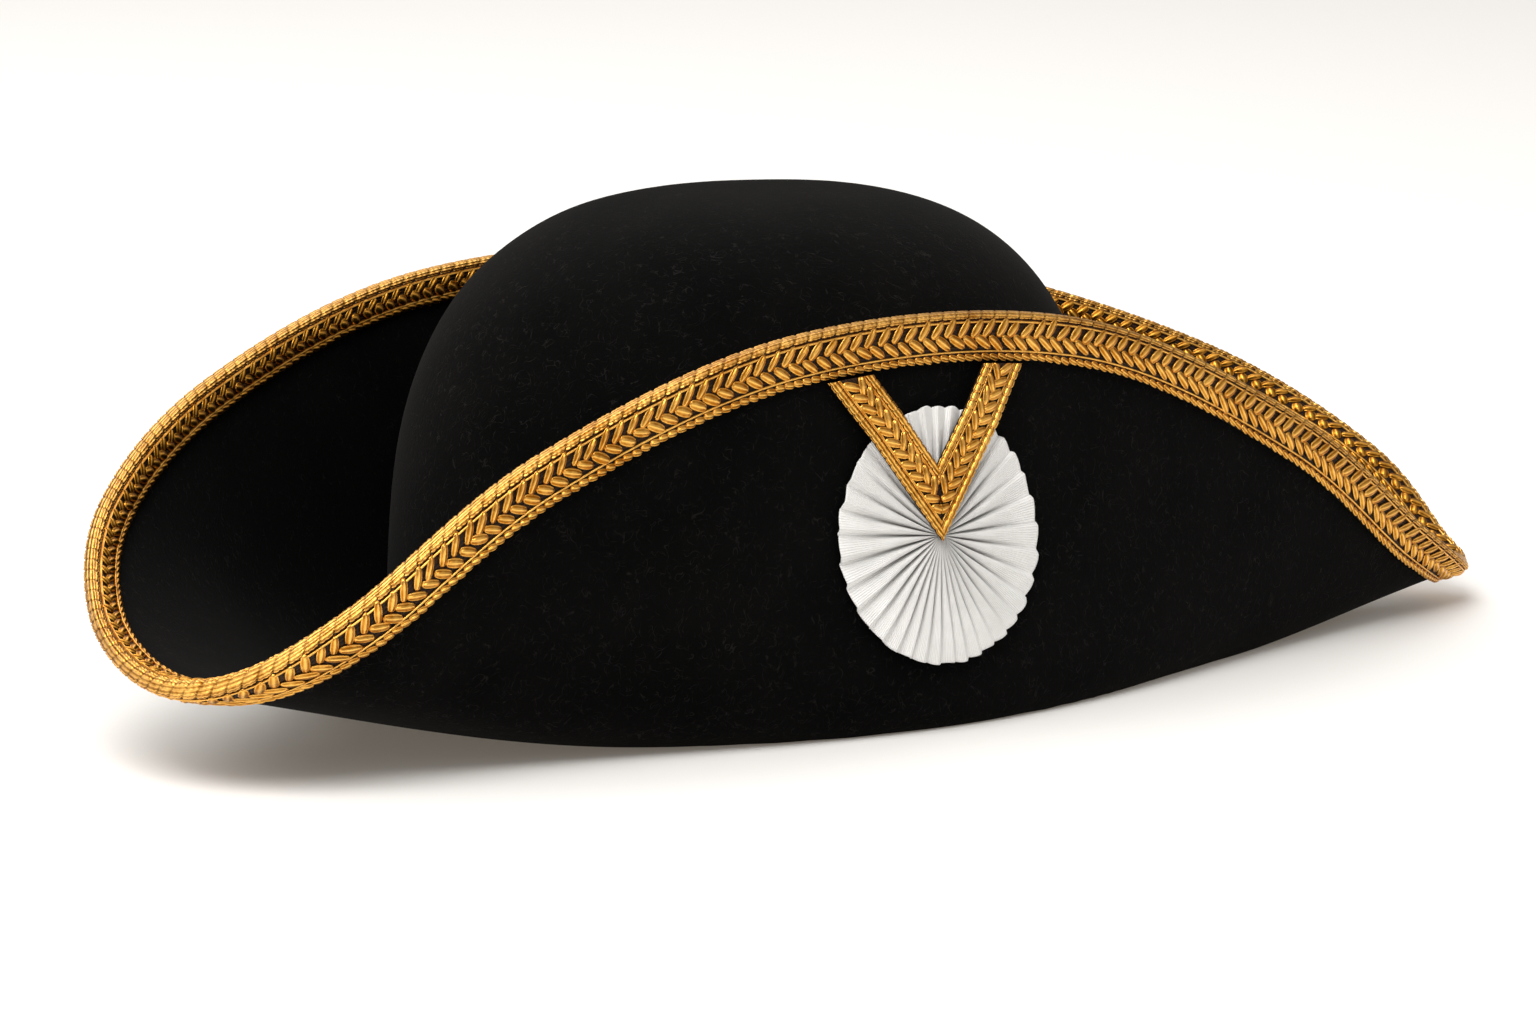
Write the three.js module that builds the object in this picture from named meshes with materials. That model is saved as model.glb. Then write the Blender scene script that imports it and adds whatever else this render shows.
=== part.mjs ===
import * as THREE from 'three';

// A bicorne hat of black felt: a round crown inside a brim turned up at the front and the back, which
// leaves an open corner at each end. Gold braid is folded over the brim's edge. A pleated white cockade
// is held on the front flap by a V of the same braid. Sizes are in millimetres. The hat rests on z = 0,
// its length runs along X and the cockade faces -Y.

// The felt, one wall thick everywhere.
const feltWall = 2.5;

// The crown, measured at the middle of its wall.
const crownHalfLength = 101;
const crownHalfDepth = 84.8;
const headLineHeight = 1;
const crownRise = 126.8;
const crownShoulder = 3.2;
const crownRoundness = 3;

// The fold from the crown's wall into the brim, and how far it rounds off the corner.
const foldSize = 4.5;
const foldRounding = 0.45;

// How a brim section leaves the head line and how it reaches the edge, at the flaps and at the corners.
const flapOutward = 27;
const flapUpright = 51;
const cornerOutward = 20;
const cornerReach = 39;
const leftCornerRise = THREE.MathUtils.degToRad(9);
const bellyDrop = 0.34;
const flapLean = THREE.MathUtils.degToRad(2);
const turnSharpness = 0.8;

// The line of the brim's edge, a row for every section at 20 degrees round the hat from the corner on
// the right (+X), first over the back flap and then over the front flap.
const edgeSections = [
  { place: 'right corner', x: 223, y: -30, z: 14.5 },
  { place: 'back, near the right corner', x: 213, y: -10, z: 38.5 },
  { place: 'back', x: 182, y: 25, z: 66.5 },
  { place: 'back', x: 122, y: 61, z: 90 },
  { place: 'back, right of the middle', x: 41, y: 84, z: 102 },
  { place: 'back, left of the middle', x: -49, y: 86, z: 101 },
  { place: 'back', x: -126, y: 70, z: 82 },
  { place: 'back', x: -177, y: 44, z: 59 },
  { place: 'back, near the left corner', x: -204, y: 10, z: 38 },
  { place: 'left corner', x: -212, y: -25, z: 26.5 },
  { place: 'front, near the left corner', x: -205, y: -53, z: 30 },
  { place: 'front', x: -182, y: -72, z: 48 },
  { place: 'front', x: -130, y: -81, z: 82.5 },
  { place: 'front, left of the middle', x: -53, y: -87, z: 106 },
  { place: 'front, right of the middle', x: 43, y: -83, z: 101 },
  { place: 'front', x: 127, y: -74, z: 65.8 },
  { place: 'front', x: 186, y: -60, z: 27.2 },
  { place: 'front, near the right corner', x: 218, y: -44, z: 11 },
];

// The braid over the edge: its depth on the outside and on the face turned to the crown, its thickness,
// and the gap that it keeps to the felt.
const braidDepth = 13;
const insideBraidDepth = 9;
const braidThickness = 1.3;
const rimThickness = 1.5;
const seatGap = 0.3;

// The rows of the braid and of the felt under it, as shares of the braid's depth, and the round rim: a
// row for each place, in from the edge by a share of the rim's thickness and out by a share of the braid.
const braidRows = [0.7, 0.4];
const rimRows = [
  { in: 1.3, out: 1 },
  { in: 0.4, out: 0.75 },
  { in: 0, out: 0.3 },
];

// The cockade: its middle on the front flap, and the ribbon's pleats.
const cockadeMiddle = { x: -12.2, z: 50.7 };
const cockadeRadius = 33.2;
const cockadeThickness = 1.2;
const pleatCount = 40;
const pleatHeight = 1.3;
const middlePleatShare = 0.35;
const scallopDepth = 0.7;
const cockadeRings = [0.3, 0.65, 1];

// The V of braid: the strap's width, the slant of its two arms from upright, and its tip as seen from
// the cockade's middle.
const strapWidth = 12.4;
const strapThickness = 1.4;
const leftArmSlant = THREE.MathUtils.degToRad(36.5);
const rightArmSlant = THREE.MathUtils.degToRad(38.3);
const strapTip = new THREE.Vector2(-0.7, -1.8);
const strapStations = 8;
const strapSeat = 0.55;
const strapSlope = 16;
const strapEndGap = 0.7;
const longestArm = 90;

// How finely the pieces are cut into flat faces.
const sectionCount = 72;
const crownRows = 11;
const highestClimb = THREE.MathUtils.degToRad(84);
const openBrimRows = 8;
const rowCrowding = 1.5;
const curveSteps = 48;

// How small a step measures a slope, in radians and in millimetres, and how often a place is improved.
const slopeStep = 0.01;
const slopeReach = 2;
const placeSearches = 12;
const endSearches = 30;

const finish = (name, color, roughness, metalness) => (
  new THREE.MeshStandardMaterial({ name, color, roughness, metalness })
);
const finishes = {
  felt: finish('black_felt', 0x141414, 0.95, 0),
  gold: finish('gold_braid', 0xb98a35, 0.45, 0.55),
  ribbon: finish('white_ribbon', 0xe9e8e6, 0.7, 0),
};

const up = new THREE.Vector3(0, 0, 1);

// A smooth closed curve through the table's rows, at an angle in radians.
function throughRows(angle, column) {
  const rows = edgeSections.length;
  const place = ((angle / (2 * Math.PI)) * rows % rows + rows) % rows;
  const before = Math.floor(place);
  const part = place - before;
  const [a, b, c, d] = [-1, 0, 1, 2].map((step) => edgeSections[(before + step + rows) % rows][column]);
  const bend = 2 * a - 5 * b + 4 * c - d;
  const twist = 3 * (b - c) + d - a;
  return b + 0.5 * part * (c - a + part * (bend + part * twist));
}

function edgePoint(angle) {
  return new THREE.Vector3(throughRows(angle, 'x'), throughRows(angle, 'y'), throughRows(angle, 'z'));
}

// The crown's wall at a climb from 0 at the head line to a quarter turn at the top.
function crownPoint(angle, climb) {
  const width = Math.cos(climb) ** (2 / crownRoundness);
  const height = Math.sin(climb) ** (2 / crownShoulder);
  return new THREE.Vector3(
    crownHalfLength * width * Math.cos(angle),
    crownHalfDepth * width * Math.sin(angle),
    headLineHeight + crownRise * height,
  );
}

// One brim section is a cubic curve from the head line down, out and up to the edge.
function brimCurve(angle) {
  const start = crownPoint(angle, 0);
  const outward = new THREE.Vector3(start.x, start.y, 0).normalize();
  const flapShare = Math.sin(angle) ** 2;
  const leave = THREE.MathUtils.lerp(cornerOutward, flapOutward, flapShare);
  const reach = THREE.MathUtils.lerp(cornerReach, flapUpright, flapShare);
  const end = edgePoint(angle);
  const upright = new THREE.Vector3(0, Math.sin(flapLean) * Math.sign(Math.sin(angle)), Math.cos(flapLean));
  const rise = Math.cos(angle) < 0 ? leftCornerRise : 0;
  const level = new THREE.Vector3(Math.sign(Math.cos(angle)), 0, Math.tan(rise));
  const arrive = level.lerp(upright, flapShare ** turnSharpness).normalize();
  const first = start.clone().addScaledVector(outward, leave);
  first.addScaledVector(up, -leave * bellyDrop * flapShare);
  const second = end.clone().addScaledVector(arrive, -reach);
  return new THREE.CubicBezierCurve3(start, first, second, end);
}

// The same section as a line of points with the distance of each from the edge.
function brimLine(angle) {
  const points = brimCurve(angle).getPoints(curveSteps);
  const fromEdge = new Array(points.length).fill(0);
  for (let i = points.length - 2; i >= 0; i -= 1) {
    fromEdge[i] = fromEdge[i + 1] + points[i].distanceTo(points[i + 1]);
  }
  return { points, fromEdge };
}

// The point of the brim's middle surface that lies a given distance in from the edge.
function brimPoint(angle, distance) {
  const { points, fromEdge } = brimLine(angle);
  let i = points.length - 2;
  while (i > 0 && fromEdge[i] < distance) i -= 1;
  const share = (fromEdge[i] - distance) / (fromEdge[i] - fromEdge[i + 1]);
  return points[i].clone().lerp(points[i + 1], share);
}

// The brim's direction straight through the felt, pointing to the face that is turned to the crown.
function brimNormal(angle, distance) {
  const along = brimPoint(angle + slopeStep, distance).sub(brimPoint(angle - slopeStep, distance));
  const across = brimPoint(angle, distance).sub(brimPoint(angle, distance + slopeReach));
  return across.cross(along).normalize();
}

// A place in or on the brim: in from the edge, and off the middle surface towards the crown.
function brimPlace(angle, distance, offset) {
  return brimPoint(angle, distance).addScaledVector(brimNormal(angle, distance), offset);
}

function sectionAngles() {
  return Array.from({ length: sectionCount }, (_, i) => (2 * Math.PI * i) / sectionCount);
}

// The volume inside a set of triangles, negative where they face inward.
function enclosedVolume(positions, indices) {
  const corner = (i) => new THREE.Vector3().fromArray(positions, indices[i] * 3);
  let volume = 0;
  for (let i = 0; i < indices.length; i += 3) {
    volume += corner(i).dot(corner(i + 1).cross(corner(i + 2))) / 6;
  }
  return volume;
}

// A closed skin from rings of points: each ring joins the next, and the last may join the first.
function skin(rings, { closed = false, startPole = null, endPole = null } = {}) {
  const positions = [];
  const indices = [];
  const across = rings[0].length;
  rings.forEach((ring) => ring.forEach((point) => positions.push(point.x, point.y, point.z)));
  const joins = closed ? rings.length : rings.length - 1;
  for (let r = 0; r < joins; r += 1) {
    const here = r * across;
    const next = ((r + 1) % rings.length) * across;
    for (let i = 0; i < across; i += 1) {
      const j = (i + 1) % across;
      indices.push(here + i, here + j, next + j);
      indices.push(here + i, next + j, next + i);
    }
  }
  const addPole = (pole, ringStart, flip) => {
    const tip = positions.length / 3;
    positions.push(pole.x, pole.y, pole.z);
    for (let i = 0; i < across; i += 1) {
      const j = (i + 1) % across;
      if (flip) indices.push(tip, ringStart + j, ringStart + i);
      else indices.push(tip, ringStart + i, ringStart + j);
    }
  };
  if (startPole) addPole(startPole, 0, true);
  if (endPole) addPole(endPole, (rings.length - 1) * across, false);
  if (enclosedVolume(positions, indices) < 0) indices.reverse();
  const geometry = new THREE.BufferGeometry();
  geometry.setAttribute('position', new THREE.Float32BufferAttribute(positions, 3));
  geometry.setIndex(indices);
  geometry.computeVertexNormals();
  return geometry;
}

// The rows of the felt's middle surface in one section, from the crown's top to the brim's edge.
function feltRows(angle) {
  const rows = [];
  const lowest = Math.asin((foldSize / crownRise) ** (crownShoulder / 2));
  for (let i = 0; i < crownRows; i += 1) {
    rows.push(crownPoint(angle, THREE.MathUtils.lerp(highestClimb, lowest, i / (crownRows - 1))));
  }
  const width = brimLine(angle).fromEdge[0];
  const foldPoint = brimPoint(angle, width - foldSize);
  const chord = rows[rows.length - 1].clone().lerp(foldPoint, 0.5);
  rows.push(crownPoint(angle, 0).lerp(chord, foldRounding), foldPoint);
  for (let i = 1; i <= openBrimRows; i += 1) {
    const share = (i / openBrimRows) ** rowCrowding;
    rows.push(brimPoint(angle, THREE.MathUtils.lerp(width - foldSize, braidDepth, share)));
  }
  braidRows.forEach((share) => rows.push(brimPoint(angle, share * braidDepth)));
  rows.push(brimPoint(angle, rimThickness + seatGap));
  return rows;
}

// The felt: two faces half a wall either side of the middle surface, joined at the edge. Where the
// brim's underside would reach below the floor it is pressed flat on it.
function feltBody() {
  const sections = sectionAngles().map(feltRows);
  const rowCount = sections[0].length;
  const normalAt = (i, r) => {
    const next = sections[(i + 1) % sectionCount];
    const last = sections[(i + sectionCount - 1) % sectionCount];
    const around = next[r].clone().sub(last[r]);
    const down = sections[i][Math.min(r + 1, rowCount - 1)].clone().sub(sections[i][Math.max(r - 1, 0)]);
    return down.cross(around).normalize();
  };
  const face = (side, lowest) => Array.from({ length: rowCount }, (_, r) => sections.map((rows, i) => {
    const point = rows[r].clone().addScaledVector(normalAt(i, r), (side * feltWall) / 2);
    point.z = Math.max(point.z, lowest);
    return point;
  }));
  const outer = face(1, feltWall);
  const inner = face(-1, 0);
  const top = new THREE.Vector3(0, 0, headLineHeight + crownRise);
  return skin([...outer, ...inner.reverse()], {
    startPole: top.clone().addScaledVector(up, feltWall / 2),
    endPole: top.clone().addScaledVector(up, -feltWall / 2),
  });
}

// The braid: a deep U in section with a round rim, folded over the brim's edge.
function edgeBraid() {
  const near = feltWall / 2 + seatGap;
  const far = near + braidThickness;
  const rows = [1, ...braidRows];
  const layer = (depth) => ({
    face: [
      ...rows.map((share) => ({ distance: share * depth, offset: far })),
      ...rimRows.map((row) => ({ distance: row.in * rimThickness, offset: row.out * far })),
    ],
    back: [
      ...rows.map((share) => ({ distance: share * depth, offset: near })),
      { distance: rimThickness, offset: near },
    ],
  });
  const otherFace = (side) => side.map(({ distance, offset }) => ({ distance, offset: -offset }));
  const crownSide = layer(insideBraidDepth);
  const outerSide = layer(braidDepth);
  const profile = [
    ...crownSide.face,
    ...otherFace(outerSide.face).reverse(),
    ...otherFace(outerSide.back),
    ...crownSide.back.reverse(),
  ];
  const angles = sectionAngles();
  const rings = profile.map(({ distance, offset }) => (
    angles.map((angle) => brimPlace(angle, distance, offset))
  ));
  return skin(rings, { closed: true });
}

// The brim section and the distance from the edge where the front flap's outside face shows at two
// measures taken along two directions from an origin.
function findOnFlap(origin, across, rise, measures) {
  const measure = (angle, distance) => {
    const point = brimPlace(angle, distance, -feltWall / 2).sub(origin);
    return [point.dot(across) - measures[0], point.dot(rise) - measures[1]];
  };
  let angle = -Math.PI / 2;
  let distance = braidDepth * 4;
  for (let search = 0; search < placeSearches; search += 1) {
    const here = measure(angle, distance);
    const turned = measure(angle + slopeStep, distance).map((value, i) => (value - here[i]) / slopeStep);
    const moved = measure(angle, distance + slopeStep).map((value, i) => (value - here[i]) / slopeStep);
    const scale = turned[0] * moved[1] - turned[1] * moved[0];
    angle -= (here[0] * moved[1] - here[1] * moved[0]) / scale;
    distance -= (turned[0] * here[1] - turned[1] * here[0]) / scale;
    distance = Math.max(distance, rimThickness);
  }
  return { angle, distance, point: brimPlace(angle, distance, -feltWall / 2) };
}

// The cockade's own directions on the flap: across to the right, up the flap, and away from the felt.
const onFlap = (() => {
  const right = new THREE.Vector3(1, 0, 0);
  const middle = findOnFlap(new THREE.Vector3(), right, up, [cockadeMiddle.x, cockadeMiddle.z]);
  const away = brimNormal(middle.angle, middle.distance).negate();
  const across = up.clone().cross(away).normalize();
  return { origin: middle.point, away, across, rise: away.clone().cross(across) };
})();

// A place over the flap: across and up from the cockade's middle, and off the felt.
function overFlap(acrossBy, riseBy, height) {
  const found = findOnFlap(onFlap.origin, onFlap.across, onFlap.rise, [acrossBy, riseBy]);
  return { distance: found.distance, point: found.point.addScaledVector(onFlap.away, height) };
}

// How far the pleats' ridges stand off the felt at a distance from the cockade's middle.
function ridgeHeight(radius) {
  const share = middlePleatShare + (1 - middlePleatShare) * Math.min(radius / cockadeRadius, 1);
  return seatGap + cockadeThickness + pleatHeight * share;
}

function cockade() {
  const turns = Array.from({ length: pleatCount * 2 }, (_, i) => (Math.PI * i) / pleatCount);
  const ring = (share, height) => turns.map((turn, i) => {
    const ridge = i % 2 === 0;
    const radius = share * (cockadeRadius - (ridge ? 0 : scallopDepth * share));
    return overFlap(radius * Math.cos(turn), radius * Math.sin(turn), height(radius, ridge)).point;
  });
  const front = (radius, ridge) => (ridge ? ridgeHeight(radius) : seatGap + cockadeThickness);
  const back = () => seatGap;
  const rings = [
    ...cockadeRings.map((share) => ring(share, front)),
    ...cockadeRings.map((share) => ring(share, back)).reverse(),
  ];
  return skin(rings, {
    startPole: overFlap(0, 0, seatGap + cockadeThickness + pleatHeight * middlePleatShare).point,
    endPole: overFlap(0, 0, seatGap).point,
  });
}

// The V strap is one strip of braid: down the left arm to the mitre over the cockade's middle and up
// the right arm, ending just below the edge braid.
function cockadeLoop() {
  const reach = strapWidth / Math.sin(leftArmSlant + rightArmSlant);
  const notch = new THREE.Vector2(
    reach * (Math.sin(rightArmSlant) - Math.sin(leftArmSlant)),
    reach * (Math.cos(leftArmSlant) + Math.cos(rightArmSlant)),
  ).add(strapTip);
  const under = (place) => {
    const radius = place.length();
    const clear = ridgeHeight(radius) + strapSeat;
    const share = THREE.MathUtils.clamp((radius - cockadeRadius - 1) / strapSlope, 0, 1);
    return THREE.MathUtils.lerp(clear, strapSeat, share);
  };
  const armEnd = (start, direction) => {
    let [low, high] = [0, longestArm];
    for (let search = 0; search < endSearches; search += 1) {
      const middle = (low + high) / 2;
      const place = start.clone().addScaledVector(direction, middle);
      if (overFlap(place.x, place.y, 0).distance > braidDepth + strapEndGap) low = middle;
      else high = middle;
    }
    return low;
  };
  const arm = (slant) => {
    const direction = new THREE.Vector2(Math.sin(slant), Math.cos(slant));
    const edges = [strapTip, notch].map((start) => ({ start, length: armEnd(start, direction) }));
    return Array.from({ length: strapStations + 1 }, (_, i) => edges.map(({ start, length }) => (
      start.clone().addScaledVector(direction, (length * i) / strapStations)
    )));
  };
  const stations = [...arm(-leftArmSlant).reverse(), ...arm(rightArmSlant).slice(1)];
  const rings = stations.map(([outer, inner]) => [
    overFlap(outer.x, outer.y, under(outer)).point,
    overFlap(inner.x, inner.y, under(inner)).point,
    overFlap(inner.x, inner.y, under(inner) + strapThickness).point,
    overFlap(outer.x, outer.y, under(outer) + strapThickness).point,
  ]);
  const middleOf = (ring) => ring.reduce((sum, point) => sum.add(point), new THREE.Vector3()).divideScalar(4);
  return skin(rings, { startPole: middleOf(rings[0]), endPole: middleOf(rings[rings.length - 1]) });
}

const hat = new THREE.Group();
hat.name = 'bicorne_hat';
const pieces = [
  { name: 'felt_body', geometry: feltBody(), material: finishes.felt },
  { name: 'edge_braid', geometry: edgeBraid(), material: finishes.gold },
  { name: 'cockade', geometry: cockade(), material: finishes.ribbon },
  { name: 'cockade_loop', geometry: cockadeLoop(), material: finishes.gold.clone() },
];
pieces.forEach(({ name, geometry, material }) => {
  const mesh = new THREE.Mesh(geometry, material);
  mesh.name = name;
  hat.add(mesh);
});

// The middle of the whole hat, seen from above, goes over the origin.
const middle = new THREE.Box3().setFromObject(hat).getCenter(new THREE.Vector3());
hat.children.forEach((mesh) => mesh.geometry.translate(-middle.x, -middle.y, 0));

export default hat;
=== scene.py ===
# %% [markdown]
# # A bicorne hat
# A bicorne is a round felt crown whose wide brim is turned up at the front and at the back, so that an open
# corner is left at each end. Gold lace is folded over the whole edge, and a pleated white cockade is held on
# the front by a V of the same lace. The hat is built here as surfaces worked out with numpy: the felt first,
# then the lace cord by cord, then the cockade and its strap, and at last the finishes, lights and camera.

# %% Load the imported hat
import math

import bpy
import numpy as np
from mathutils import Matrix, Vector


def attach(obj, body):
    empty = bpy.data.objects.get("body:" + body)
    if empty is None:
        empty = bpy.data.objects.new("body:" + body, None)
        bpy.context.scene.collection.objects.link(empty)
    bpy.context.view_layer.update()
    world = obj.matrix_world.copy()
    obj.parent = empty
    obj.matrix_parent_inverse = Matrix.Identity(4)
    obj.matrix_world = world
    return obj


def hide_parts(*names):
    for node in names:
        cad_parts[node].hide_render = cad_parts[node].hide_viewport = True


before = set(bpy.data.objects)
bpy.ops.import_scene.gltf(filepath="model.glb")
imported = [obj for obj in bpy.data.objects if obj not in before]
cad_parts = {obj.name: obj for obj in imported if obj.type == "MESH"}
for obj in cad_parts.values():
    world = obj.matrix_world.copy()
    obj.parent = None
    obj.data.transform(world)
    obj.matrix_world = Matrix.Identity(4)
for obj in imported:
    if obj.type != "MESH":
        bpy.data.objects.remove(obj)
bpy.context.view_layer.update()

MM = 0.001

# %% [markdown]
# ## The line of the brim's edge
# The whole brim follows from one line: its edge. The line rises over the two flaps and comes down to the
# corners. It could be drawn as a Blender curve, but a table of a few places with a smooth closed curve
# through them can be read at any angle round the hat, which every piece below needs.

# %% The edge's places, in millimetres
# A row for every section at 20 degrees round the hat, from the corner on the right, over the back flap.
edge_sections = [
    {"place": "right corner", "x": 223, "y": -30, "z": 14.5},
    {"place": "back, near the right corner", "x": 213, "y": -10, "z": 38.5},
    {"place": "back", "x": 182, "y": 25, "z": 66.5},
    {"place": "back", "x": 122, "y": 61, "z": 90},
    {"place": "back, right of the middle", "x": 41, "y": 84, "z": 102},
    {"place": "back, left of the middle", "x": -49, "y": 86, "z": 101},
    {"place": "back", "x": -126, "y": 70, "z": 82},
    {"place": "back", "x": -177, "y": 44, "z": 59},
    {"place": "back, near the left corner", "x": -204, "y": 10, "z": 38},
    {"place": "left corner", "x": -212, "y": -25, "z": 26.5},
    {"place": "front, near the left corner", "x": -205, "y": -53, "z": 30},
    {"place": "front", "x": -182, "y": -72, "z": 48},
    {"place": "front", "x": -130, "y": -81, "z": 82.5},
    {"place": "front, left of the middle", "x": -53, "y": -87, "z": 106},
    {"place": "front, right of the middle", "x": 43, "y": -83, "z": 101},
    {"place": "front", "x": 127, "y": -74, "z": 65.8},
    {"place": "front", "x": 186, "y": -60, "z": 27.2},
    {"place": "front, near the right corner", "x": 218, "y": -44, "z": 11},
]
edge_table = np.array([[row["x"], row["y"], row["z"]] for row in edge_sections], dtype=float)


def edge_line(angle):
    """A closed Catmull-Rom curve: between two rows the place is a cubic in the share of the way, which
    leaves each row in the direction from the row before it to the row after it."""
    rows = len(edge_table)
    place = (angle / math.tau * rows) % rows
    before = np.floor(place).astype(int)
    part = (place - before)[..., None]
    a, b, c, d = (edge_table[(before + step) % rows] for step in (-1, 0, 1, 2))
    bend = 2 * a - 5 * b + 4 * c - d
    twist = 3 * (b - c) + d - a
    return b + 0.5 * part * (c - a + part * (bend + part * twist))


# %% [markdown]
# ## The crown and the brim
# A hatter steams a cone of felt and pulls it over a wooden block, so crown and brim are one skin. The crown
# is a superellipse: rounder than a box and squarer than an ellipse. Each section of the brim is one cubic
# Bezier curve that leaves the head line, sags a little as a belly, and comes up to the edge.

# %% Sizes of the felt
crown_half_length = 101
crown_half_depth = 84.8
head_line_height = 1
crown_rise = 126.8
crown_shoulder = 3.2
crown_roundness = 3
fold_size = 4.5
felt_wall = 2.5
flap_outward, flap_upright = 27, 51
corner_outward, corner_reach = 20, 39
left_corner_rise = math.radians(9)
belly_drop = 0.34
flap_lean = math.radians(2)
turn_sharpness = 0.8
rim_thickness = 1.5
seat_gap = 0.3


def crown_surface(angle, climb):
    """Length and depth shrink with the cosine of the climb, and the height grows with its sine. The powers
    2/roundness and 2/shoulder square off the side view."""
    width = np.cos(climb) ** (2 / crown_roundness)
    height = np.sin(climb) ** (2 / crown_shoulder)
    return np.stack([
        crown_half_length * width * np.cos(angle),
        crown_half_depth * width * np.sin(angle),
        head_line_height + crown_rise * height + 0 * angle,
    ], axis=-1)


def blend(a, b, share):
    return a + (b - a) * share


def unit(vectors):
    return vectors / np.maximum(np.linalg.norm(vectors, axis=-1, keepdims=True), 1e-9)


def brim_handles(angle):
    """The four handles of each section's Bezier curve: the head line, a handle straight out of it and
    down by the belly's drop, a handle short of the edge, and the edge."""
    start = crown_surface(angle, 0 * angle)
    outward = unit(start * [1, 1, 0])
    flap_share = np.sin(angle)[:, None] ** 2
    leave = blend(corner_outward, flap_outward, flap_share)
    reach = blend(corner_reach, flap_upright, flap_share)
    end = edge_line(angle)
    zero = np.zeros_like(angle)
    upright = np.stack([
        zero,
        math.sin(flap_lean) * np.sign(np.sin(angle)),
        zero + math.cos(flap_lean),
    ], axis=-1)
    rise = np.where(np.cos(angle) < 0, left_corner_rise, 0)
    level = np.stack([np.sign(np.cos(angle)), zero, np.tan(rise)], axis=-1)
    arrive = unit(blend(level, upright, flap_share ** turn_sharpness))
    first = start + outward * leave - np.array([0, 0, 1]) * leave * belly_drop * flap_share
    return start, first, end - arrive * reach, end


# %% [markdown]
# ## A map of the brim
# Everything that is sewn to the brim is placed by three measures, as a milliner would say it: how far along
# the edge, how far in from the edge, and how far off the felt. So the brim is worked out once as a fine table
# of points and directions, and one function looks places up in it.

# %% Work out the table
table_rows = 2880
table_angles = np.arange(table_rows) * math.tau / table_rows
table_steps = np.linspace(0, 1, 161)
table_distances = np.arange(0, 121.0)


def brim_table():
    """Bezier points at even shares of the curve, then resampled so that column d lies d mm in from the
    edge, measured along the section. The normal is across times along, towards the crown."""
    p0, p1, p2, p3 = (handle[:, None, :] for handle in brim_handles(table_angles))
    t = table_steps[None, :, None]
    line = (1 - t) ** 3 * p0 + 3 * (1 - t) ** 2 * t * p1 + 3 * (1 - t) * t ** 2 * p2 + t ** 3 * p3
    hops = np.linalg.norm(np.diff(line, axis=1), axis=2)
    to_edge = np.cumsum(hops[:, ::-1], axis=1)[:, ::-1]
    from_edge = np.concatenate([to_edge, np.zeros((len(line), 1))], axis=1)
    widths = from_edge[:, 0]
    points = np.empty((len(line), len(table_distances), 3))
    for i, (row, distances) in enumerate(zip(line, from_edge)):
        for axis in range(3):
            points[i, :, axis] = np.interp(table_distances, distances[::-1], row[::-1, axis])
    along = np.roll(points, -4, axis=0) - np.roll(points, 4, axis=0)
    across = -np.gradient(points, axis=1)
    return points, unit(np.cross(across, along)), widths, line, from_edge


brim_points, brim_normals, brim_widths, brim_lines, brim_from_edge = brim_table()
edge_hops = np.linalg.norm(np.diff(brim_points[:, 0], axis=0, append=brim_points[:1, 0]), axis=1)
edge_lengths = np.concatenate([[0], np.cumsum(edge_hops)])
edge_total = edge_lengths[-1]
felt_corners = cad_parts["felt_body"].data.vertices
packed_felt = np.empty(3 * len(felt_corners))
felt_corners.foreach_get("co", packed_felt)
packed_felt = packed_felt.reshape(-1, 3)
crown_top = packed_felt[packed_felt[:, 2].argmax()]
hat_shift = np.array([crown_top[0], crown_top[1], 0]) / MM
narrow, wide = brim_widths.min().round(), brim_widths.max().round()
print("edge", round(edge_total), "mm, brim", narrow, "to", wide, "mm wide, hat moved by", hat_shift.round(2))


def look_up(table, angle, distance):
    """Straight-line shares of the four nearest entries of a table of angles by distances in mm."""
    place = (angle / math.tau * table_rows) % table_rows
    row = np.floor(place).astype(int) % table_rows
    down = np.clip(distance, 0, table_distances[-1] - 1.001)
    column = np.floor(down).astype(int)
    part, share = (place - np.floor(place))[..., None], (down - column)[..., None]
    following = (row + 1) % table_rows
    near = blend(table[row, column], table[following, column], part)
    far = blend(table[row, column + 1], table[following, column + 1], part)
    return blend(near, far, share)


def at_angle(angle, distance, off):
    """A place by the section's angle: in from the edge, and off the felt's middle towards the crown."""
    point = look_up(brim_points, angle, distance)
    return point + unit(look_up(brim_normals, angle, distance)) * off[..., None] + hat_shift


def on_brim(length, distance, off):
    """A place by the length along the edge in mm, in from the edge, and off the felt's middle."""
    length, distance, off = np.broadcast_arrays(length, distance, off)
    angle = np.interp(length % edge_total, edge_lengths, np.append(table_angles, math.tau))
    return at_angle(angle, distance, off)


# %% [markdown]
# ## From a grid of points to a mesh
# Nearly every piece is a grid: a profile carried along a path. One helper joins such a grid into faces, wraps
# it round where it closes, and writes a UV map in millimetres, so that a finish can follow the thread.

# %% Mesh helpers
def grid_faces(rows, columns, wrap_rows):
    """The faces between neighbouring rows of a grid whose columns close round, and their corners' places."""
    r = np.arange(rows if wrap_rows else rows - 1)[:, None]
    c = np.arange(columns)[None, :]
    r2, c2 = (r + 1) % rows, (c + 1) % columns
    quads = np.stack([r * columns + c, r * columns + c2, r2 * columns + c2, r2 * columns + c], axis=-1)
    u, v = np.broadcast_arrays(r, c)
    corners = np.array([[u, v], [u, v + 1], [u + 1, v + 1], [u + 1, v]])
    return quads.reshape(-1, 4), np.moveaxis(corners, (0, 1), (2, 3)).reshape(-1, 4, 2)


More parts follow.
